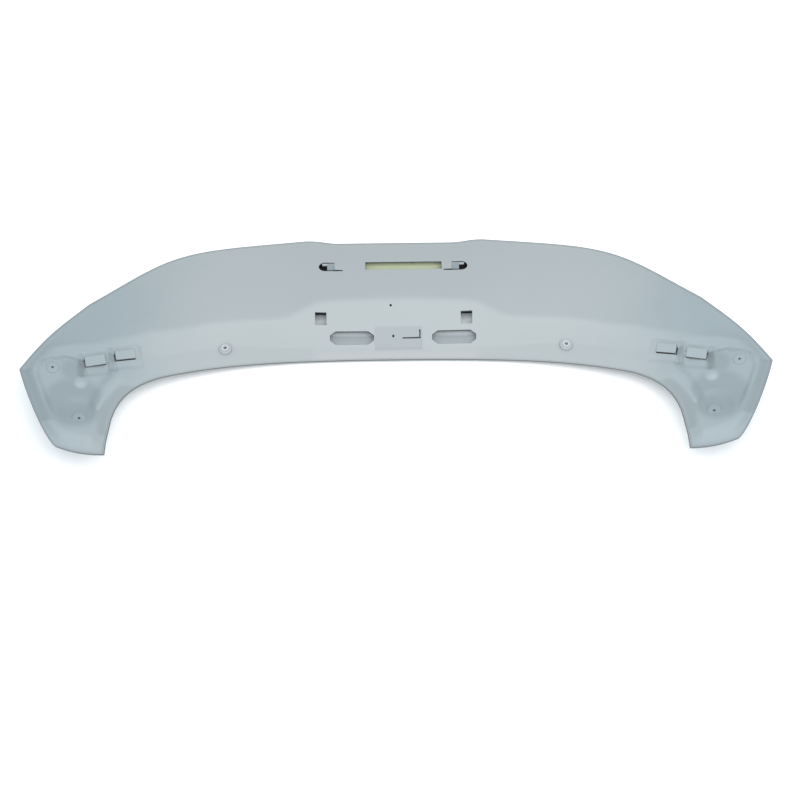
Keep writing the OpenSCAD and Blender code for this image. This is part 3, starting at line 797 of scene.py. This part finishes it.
def smooth_range(tree, value, low, high, at_low=0, at_high=1):
    """A value mapped smoothly from one range to another."""
    inputs = {"Value": value, "From Min": low, "From Max": high, "To Min": at_low, "To Max": at_high}
    return add_node(tree, "ShaderNodeMapRange", inputs, interpolation_type="SMOOTHSTEP").outputs["Result"]


def mix_colours(tree, factor, first, second):
    inputs = {"Factor": factor, "A": first, "B": second}
    return add_node(tree, "ShaderNodeMix", inputs, data_type="RGBA").outputs["Result"]


def noise(tree, place, **inputs):
    return add_node(tree, "ShaderNodeTexNoise", {"Vector": place, **inputs}).outputs["Fac"]


def primer_group():
    """Sprayed primer: cloudy tone, painted shade that darkens it towards the arms, faint mottle in the gloss
    and a fine orange peel.
    """
    tree = bpy.data.node_groups.new("sprayed_primer", "ShaderNodeTree")
    add_socket(tree, "Colour", "NodeSocketColor", "INPUT", (0.5, 0.5, 0.5, 1))
    add_socket(tree, "Shaded arm colour", "NodeSocketColor", "INPUT", (0.4, 0.4, 0.4, 1))
    add_socket(tree, "Roughness", "NodeSocketFloat", "INPUT", 0.45)
    add_socket(tree, "Peel", "NodeSocketFloat", "INPUT", 0.1)
    for name, kind in (("Colour", "Color"), ("Roughness", "Float"), ("Normal", "Vector")):
        add_socket(tree, name, "NodeSocket" + kind, "OUTPUT")
    given = add_node(tree, "NodeGroupInput").outputs
    place = object_place(tree)
    split = add_node(tree, "ShaderNodeSeparateXYZ", {"Vector": place}).outputs
    outward = maths(tree, "ABSOLUTE", split["X"])
    # Painted shade: away from the middle the tone turns to the darker arm colour
    cloudy = maths(tree, "MULTIPLY_ADD", noise(tree, place, Scale=5.5, Detail=3), 0.16, outward)
    tone = mix_colours(tree, smooth_range(tree, cloudy, 0.38, 0.63), given["Colour"], given["Shaded arm colour"])
    gloss = maths(tree, "MULTIPLY_ADD", noise(tree, place, Scale=260, Detail=4), 0.10, given["Roughness"])
    peel = {"Height": noise(tree, place, Scale=520), "Strength": given["Peel"], "Distance": 0.0004}
    normal = add_node(tree, "ShaderNodeBump", peel).outputs["Normal"]
    add_node(tree, "NodeGroupOutput", {"Colour": tone, "Roughness": gloss, "Normal": normal})
    return tree


def new_material(name):
    material = bpy.data.materials.new(name)
    material.use_nodes = True
    return material, material.node_tree, material.node_tree.nodes["Principled BSDF"]


def colour(value):
    return (*value, 1.0)


def soft_band(tree, given, value, middle, half):
    """A mask that is 1 where a value is near its middle and fades out over the softness."""
    away = maths(tree, "ABSOLUTE", maths(tree, "SUBTRACT", value, given[middle]))
    edge = maths(tree, "ADD", given[half], given["Softness"])
    return smooth_range(tree, away, given[half], edge, 1, 0)


def mask_tree(name, sockets):
    """A node group that gives a mask, with its inputs and the place split into x and y."""
    tree = bpy.data.node_groups.new(name, "ShaderNodeTree")
    for socket in sockets:
        add_socket(tree, socket, "NodeSocketFloat", "INPUT", 0.01)
    add_socket(tree, "Mask", "NodeSocketFloat", "OUTPUT")
    given = add_node(tree, "NodeGroupInput").outputs
    split = add_node(tree, "ShaderNodeSeparateXYZ", {"Vector": object_place(tree)}).outputs
    return tree, given, split


def both_masks(tree, first, second):
    """Ends a mask group with the product of two masks."""
    add_node(tree, "NodeGroupOutput", {"Mask": maths(tree, "MULTIPLY", first, second)})
    return tree


def zone_group():
    """A soft-edged rectangle in plan, given by its middle and half sizes."""
    tree, given, split = mask_tree("soft_zone", ("Middle X", "Half X", "Middle Y", "Half Y", "Softness"))
    masks = [soft_band(tree, given, split[axis], "Middle " + axis, "Half " + axis) for axis in "XY"]
    return both_masks(tree, *masks)


def ring_group():
    """A soft-edged disc, ring or arc in plan, the same on both sides."""
    tree, given, split = mask_tree("soft_ring", ("Middle X", "Middle Y", "Radius", "Half width",
                                                 "Span middle", "Half span", "Softness"))
    here = {"X": maths(tree, "ABSOLUTE", split["X"]), "Y": split["Y"]}
    middle = {axis: given["Middle " + axis] for axis in "XY"}
    points = [add_node(tree, "ShaderNodeCombineXYZ", place).outputs["Vector"] for place in (here, middle)]
    reach = add_node(tree, "ShaderNodeVectorMath", dict(enumerate(points)), operation="DISTANCE")
    around = soft_band(tree, given, reach.outputs["Value"], "Radius", "Half width")
    along = soft_band(tree, given, split["Y"], "Span middle", "Half span")
    return both_masks(tree, around, along)


MASK_GROUPS = {"soft_zone": zone_group, "soft_ring": ring_group}


def box_zone(low_x, high_x, low_y, high_y, softness, tone):
    """A rectangle in plan, on the sockets of the soft_zone group, in millimetres."""
    return "soft_zone", {"Middle X": (low_x + high_x) / 2, "Half X": (high_x - low_x) / 2,
                         "Middle Y": (low_y + high_y) / 2 - MID_Y, "Half Y": (high_y - low_y) / 2,
                         "Softness": softness}, tone


def ring_zone(x, y, radius, half_width, span_y, half_span, softness, tone):
    """A disc, ring or arc in plan, on the sockets of the soft_ring group, in millimetres."""
    return "soft_ring", {"Middle X": x, "Middle Y": y - MID_Y, "Radius": radius, "Half width": half_width,
                         "Span middle": span_y - MID_Y, "Half span": half_span, "Softness": softness}, tone


def add_zones(tree, first, zones):
    """Lays colours over one another, each within its own soft zone in plan."""
    last = first
    for kind, sizes, tone in zones:
        group = bpy.data.node_groups.get(kind) or MASK_GROUPS[kind]()
        inputs = {socket: size * MM for socket, size in sizes.items()}
        mask = add_node(tree, "ShaderNodeGroup", inputs, node_tree=group).outputs["Mask"]
        last = mix_colours(tree, mask, last, colour(tone))
    return last


def spray_material(name, group, tones, roughness, peel, zones=()):
    """A sprayed material with a tone for the middle and one for the arms; a darker arm tone is painted shade.
    """
    material, tree, shader = new_material(name)
    middle, arm = (colour(tone) for tone in tones)
    inputs = {"Colour": middle, "Shaded arm colour": arm, "Roughness": roughness, "Peel": peel}
    spray = add_node(tree, "ShaderNodeGroup", inputs, node_tree=group).outputs
    set_inputs(tree, shader, {"Base Color": add_zones(tree, spray["Colour"], zones),
                              "Roughness": spray["Roughness"], "Normal": spray["Normal"]})
    return material


def primer_material(name, finish, group, zones=()):
    # The arm tone is painted shade
    tones = (finish.primer, finish.arm_shade_primer)
    return spray_material(name, group, tones, finish.roughness, 0.12, zones)


def raw_material(finish, group):
    """The skin's inside: pale overspray, partly darkened and lightened as painted shade and light, bare ivory
    behind the lamp window and painted shadow elsewhere.
    """
    x, y, w, _ = WINDOW
    zones = [box_zone(-HALF_W, HALF_W, low, high, softness, getattr(finish, tone))
             for low, high, softness, tone in INSIDE_BANDS]
    zones.append(box_zone(x - w / 2 - 5, x + w / 2 + 5, y - 20, y + 50, 5, finish.raw))
    return spray_material("raw_inside", group, (finish.overspray,) * 2, 0.5, 0.1, zones)


def edge_shade_material(finish, group):
    """Dark painted shade that shows at the openings' edges and on the rim."""
    return spray_material("painted_edge_shade", group, (finish.edge,) * 2, 0.55, 0.12)


def steel_material(finish):
    """Zinc-plated steel with a dull, slightly uneven coat."""
    material, tree, shader = new_material("insert_steel")
    grain = noise(tree, object_place(tree), Scale=900)
    tone = mix_colours(tree, grain, colour(finish.steel), colour([v * 0.8 for v in finish.steel]))
    bump = add_node(tree, "ShaderNodeBump", {"Height": grain, "Strength": 0.15, "Distance": 0.0002})
    set_inputs(tree, shader, {"Base Color": tone, "Normal": bump.outputs["Normal"],
                              "Metallic": 1.0, "Roughness": 0.45})
    return material


def spray_parts():
    """The finish, the primer group and the material of the painted edge shade, made once."""
    finish = bpy.context.scene.spoiler_finish
    group = bpy.data.node_groups.get("sprayed_primer") or primer_group()
    edge = bpy.data.materials.get("painted_edge_shade") or edge_shade_material(finish, group)
    return finish, group, edge


def panel_zones(finish):
    """Where painted shade and painted light lie on the inner panel, darker or lighter than around it."""
    # Painted highlight along the arch line
    arch_highlight_tone = [(arm + full) / 2 for arm, full in zip(finish.arm_shade_primer, finish.highlight_primer)]
    rings = ((HOLLOW_SHADE, finish.hollow_shade), (RECESS_CORNER_SHADE, finish.hollow_shade),
             (ARCH_SHADE, finish.band_shade), (ARCH_HIGHLIGHT, arch_highlight_tone),
             (BEVEL_SHADE, finish.hollow_shade), (DOME_HIGHLIGHT, finish.highlight_primer))
    zones = [ring_zone(*ring, tone) for ring, tone in rings]
    x, y, w, d = PLATE
    # Painted shade on the sunk centre plate
    zones.append(box_zone(x - w / 2 + 1, x + w / 2 - 1, y - d / 2 + 1, y + d / 2 - 1, 3, finish.plate_shade))
    # Painted light on the middle of the leading edge
    zones.append(box_zone(*LIP_LIGHT_ZONE, finish.lip_light))
    half_w = PAD_SIZE[0] / 2
    for side in (-1, 1):
        x, y = side * HOOK[0] + CLIP_MID - side * (HOOK[2] - TONGUE_W) / 2, HOOK[1]
        low, high, softness = TONGUE_SHADE
        # Painted shade on the sunk tongue
        zones.append(box_zone(x - TONGUE_W / 2, x + TONGUE_W / 2, y + low, y + high, softness,
                              finish.hollow_shade))
        # Painted shade beside each pad: the wall tone by the outer pad, the hollow tone by the inner one
        past, along, w, d, softness = PAD_SHADE
        for centre, tone in zip(PADS, (finish.wall_shade, finish.hollow_shade)):
            x, y = side * (centre[0] + half_w + past), centre[1] + along
            zones.append(box_zone(x - w, x + w, y - d, y + d, softness, tone))
    return zones


class SPOILER_OT_outer_skin(bpy.types.Operator):
    """Builds the outer skin with its turned-up rim and bonding ledge"""

    bl_idname = "spoiler.outer_skin"
    bl_label = "Outer skin"

    def execute(self, context):
        surfaces = Surfaces(context.scene.spoiler_shape)
        finish, group, edge_shade_tone = spray_parts()
        w, toe = surfaces.rim_wall, surfaces.rim_wall + surfaces.ledge
        edge = np.array([*RIM_STEPS, w, w + 0.2, *LEDGE_STEPS, toe, toe + surfaces.wall])
        middle = np.linspace(0, 1, 26)[1:-1]

        def steps(length):
            inside = edge[-1] + (length - 2 * edge[-1]) * middle[None, :]
            near = np.broadcast_to(edge, (len(length), len(edge)))
            return np.concatenate([near, inside, length - near[:, ::-1]], 1)

        ribs = rib_table(*SKIN_RIBS, [*SKIN_ENDS, *edge[::-1]])
        x, y, d, length = plan_grid(ribs, steps)
        e = np.minimum(np.minimum(d, length - d), ribs[3][:, None])
        base = surfaces.base(x, y)
        upper = to_metres(x, y, base + surfaces.skin_top(e))
        lower = to_metres(x, y, base + surfaces.skin_bottom(e))
        obj = add_object("skin_shell", shell_mesh("skin_shell", upper, lower))
        obj.data.materials.append(primer_material("skin_coat", finish, group))
        obj.data.materials.append(raw_material(finish, group))
        obj.data.materials.append(edge_shade_tone)
        middle_e = ((e[:-1, :-1] + e[1:, 1:]) / 2).reshape(-1)
        # Painted shade (slot 2) on the rim's narrow top and the shell's sides
        slots = np.full(len(obj.data.polygons), 2)
        slots[:len(middle_e)] = np.where(middle_e > toe, 1, np.where(middle_e < edge[3], 2, 0))
        slots[len(middle_e):2 * len(middle_e)] = 0
        obj.data.polygons.foreach_set("material_index", slots)
        smooth(obj.data, 35)
        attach(obj, "root")
        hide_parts("outer_skin")
        return {"FINISHED"}


class SPOILER_OT_inner_panel(bpy.types.Operator):
    """Builds the inner panel with its openings, bosses, clip pads and recesses"""

    bl_idname = "spoiler.inner_panel"
    bl_label = "Inner panel"

    def execute(self, context):
        surfaces = Surfaces(context.scene.spoiler_shape)
        finish, group, edge_shade_tone = spray_parts()
        across = np.linspace(0, 1, 64)[None, :]
        start = surfaces.panel_edge

        def steps(length):
            return start + (length - 2 * start) * across

        ribs = rib_table(*PANEL_RIBS, [*PANEL_ENDS, start])
        x, y, d, length = plan_grid(ribs, steps)
        s = ((ribs[1] + ribs[2]) / 2)[:, None] * np.ones_like(d)
        z = surfaces.panel(x, y, s, d, length, ribs[3][:, None])
        upper, lower = to_metres(x, y, z), to_metres(x, y, z - surfaces.wall)
        obj = add_object("panel_shell", shell_mesh("panel_shell", upper, lower))
        obj.data.materials.append(primer_material("panel_coat", finish, group, panel_zones(finish)))
        cut(obj, panel_cutters(surfaces), edge_shade_tone)
        join_mesh(obj, fittings_mesh(surfaces))
        smooth(obj.data, 32)
        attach(obj, "root")
        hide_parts("inner_panel")
        return {"FINISHED"}


def thread_tree(material):
    """Geometry nodes: one thread in each insert, as a swept spiral on two points."""
    tree = bpy.data.node_groups.new("insert_thread", "GeometryNodeTree")
    add_socket(tree, "Geometry", "NodeSocketGeometry", "INPUT")
    sockets = {}
    for name, value in (("Bore radius", 0.003), ("Pitch", 0.001), ("Turns", 9.0), ("Ridge", 0.00032)):
        sockets[name] = add_socket(tree, name, "NodeSocketFloat", "INPUT", value)
    add_socket(tree, "Geometry", "NodeSocketGeometry", "OUTPUT")
    given = add_node(tree, "NodeGroupInput").outputs
    radius, pitch, turns = (given[name] for name in ("Bore radius", "Pitch", "Turns"))
    height = maths(tree, "MULTIPLY", pitch, turns)
    spiral = add_node(tree, "GeometryNodeCurveSpiral", {
        "Resolution": 32, "Start Radius": radius, "End Radius": radius, "Rotations": turns, "Height": height})
    ring = add_node(tree, "GeometryNodeCurvePrimitiveCircle", {"Resolution": 6, "Radius": given["Ridge"]})
    sweep = add_node(tree, "GeometryNodeCurveToMesh", {
        "Curve": spiral.outputs["Curve"], "Profile Curve": ring.outputs["Curve"], "Fill Caps": True})
    place = add_node(tree, "GeometryNodeInstanceOnPoints", {
        "Points": given["Geometry"], "Instance": sweep.outputs["Mesh"]})
    realize = add_node(tree, "GeometryNodeRealizeInstances", {"Geometry": place.outputs["Instances"]})
    finish = add_node(tree, "GeometryNodeSetMaterial", {
        "Geometry": realize.outputs["Geometry"], "Material": material})
    add_node(tree, "NodeGroupOutput", {"Geometry": finish.outputs["Geometry"]})
    return tree, {name: socket.identifier for name, socket in sockets.items()}


class SPOILER_OT_inserts(bpy.types.Operator):
    """Finishes the threaded inserts and adds their threads"""

    bl_idname = "spoiler.inserts"
    bl_label = "Threaded inserts"

    def execute(self, context):
        shape = context.scene.spoiler_shape
        steel = steel_material(context.scene.spoiler_finish)
        points = []
        for name in ("front_insert_left", "front_insert_right"):
            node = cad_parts[name]
            node.data.materials.clear()
            node.data.materials.append(steel)
            low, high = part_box(name)
            points.append(((low.x + high.x) / 2, (low.y + high.y) / 2, low.z + THREAD_LIFT))
        mesh = bpy.data.meshes.new("thread_points")
        mesh.from_pydata(points, [], [])
        obj = add_object("insert_threads", mesh)
        tree, sockets = thread_tree(steel)
        modifier = obj.modifiers.new("thread", "NODES")
        modifier.node_group = tree
        modifier[sockets["Bore radius"]] = shape.insert_bore / 2
        modifier[sockets["Pitch"]] = shape.pitch
        modifier[sockets["Turns"]] = THREAD_TURNS
        modifier[sockets["Ridge"]] = THREAD_RIDGE * shape.pitch
        graph = bpy.context.evaluated_depsgraph_get()
        result = bpy.data.meshes.new_from_object(obj.evaluated_get(graph))
        obj.modifiers.remove(modifier)
        obj.data = result
        smooth(result, 60)
        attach(obj, "root")
        return {"FINISHED"}


def area_light(name, at, aim, size, power, tint):
    data = bpy.data.lights.new(name, "AREA")
    data.shape = "RECTANGLE"
    data.size, data.size_y = size
    data.energy = power
    data.color = tint
    light = bpy.data.objects.new(name, data)
    bpy.context.scene.collection.objects.link(light)
    light.location = at
    light.visible_camera = False
    light.rotation_euler = (Vector(aim) - Vector(at)).to_track_quat("-Z", "Y").to_euler()


class SPOILER_OT_stage(bpy.types.Operator):
    """Sets the floor, the studio light and the camera"""

    bl_idname = "spoiler.stage"
    bl_label = "Studio"

    def execute(self, context):
        finish = context.scene.spoiler_finish
        scene = context.scene
        scene.view_settings.view_transform = "Standard"
        bm = bmesh.new()
        bmesh.ops.create_grid(bm, x_segments=2, y_segments=2, size=8)
        mesh = bpy.data.meshes.new("floor")
        bm.to_mesh(mesh)
        bm.free()
        floor = add_object("floor", mesh)
        floor.location.z = -0.0005
        material, _, shader = new_material("floor_paper")
        set_inputs(material.node_tree, shader, {"Base Color": colour(finish.floor), "Roughness": 0.9})
        mesh.materials.append(material)

        world = bpy.data.worlds.new("studio")
        world.use_nodes = True
        sky = world.node_tree.nodes["Background"]
        set_inputs(world.node_tree, sky, {"Color": (0.88, 0.95, 1.0, 1), "Strength": 1.1})
        scene.world = world
        area_light("key", at=(0.14, -0.65, 1.65), aim=(0, 0, 0), size=(1.5, 1.0), power=27,
                   tint=(1.0, 0.985, 0.97))
        self.add_camera(scene)
        return {"FINISHED"}

    def add_camera(self, scene):
        """The photograph's view: from in front and above, a little rolled."""
        picture = 789
        distance, mm_per_px = 2400.0, 1.737
        aim_px = (396.3, 360.0)
        focal_px = distance / mm_per_px
        data = bpy.data.cameras.new("camera")
        data.sensor_width = 36
        data.lens = 36 * focal_px / picture
        camera = bpy.data.objects.new("camera", data)
        scene.collection.objects.link(camera)
        elevation = math.radians(60)
        edge = Vector((0, -MID_Y, 9)) * MM
        camera.location = edge + distance * MM * Vector((0, -math.cos(elevation), math.sin(elevation)))
        right = math.atan((aim_px[0] - picture / 2) / focal_px)
        down = math.atan((picture / 2 - aim_px[1]) / focal_px)
        look = Matrix.Rotation(math.radians(90) - elevation, 4, "X")
        tilt = Matrix.Rotation(-down, 4, "X")
        yaw = Matrix.Rotation(right, 4, "Y")
        roll = Matrix.Rotation(math.radians(-0.70), 4, "Z")
        camera.rotation_euler = (look @ tilt @ yaw @ roll).to_euler()
        data.dof.use_dof = False
        scene.camera = camera


class SPOILER_PT_panel(bpy.types.Panel):
    """Lists the spoiler's builders and sizes"""

    bl_idname = "SPOILER_PT_panel"
    bl_label = "Roof spoiler"
    bl_space_type = "VIEW_3D"
    bl_region_type = "UI"
    bl_category = "Spoiler"

    def draw(self, context):
        for operator in OPERATORS:
            self.layout.operator(operator.bl_idname)
        for group in (context.scene.spoiler_shape, context.scene.spoiler_finish):
            for key in setting_names(group):
                self.layout.prop(group, key)


OPERATORS = (SPOILER_OT_stage, SPOILER_OT_outer_skin, SPOILER_OT_inner_panel, SPOILER_OT_inserts)
CLASSES = (SpoilerShape, SpoilerFinish, *OPERATORS, SPOILER_PT_panel)


def register():
    for cls in CLASSES:
        bpy.utils.register_class(cls)
    bpy.types.Scene.spoiler_shape = bpy.props.PointerProperty(type=SpoilerShape)
    bpy.types.Scene.spoiler_finish = bpy.props.PointerProperty(type=SpoilerFinish)


def unregister():
    del bpy.types.Scene.spoiler_finish
    del bpy.types.Scene.spoiler_shape
    for cls in reversed(CLASSES):
        bpy.utils.unregister_class(cls)


def main():
    register()
    bpy.ops.spoiler.stage()
    bpy.ops.spoiler.outer_skin()
    bpy.ops.spoiler.inner_panel()
    bpy.ops.spoiler.inserts()


if __name__ == "__main__":
    main()
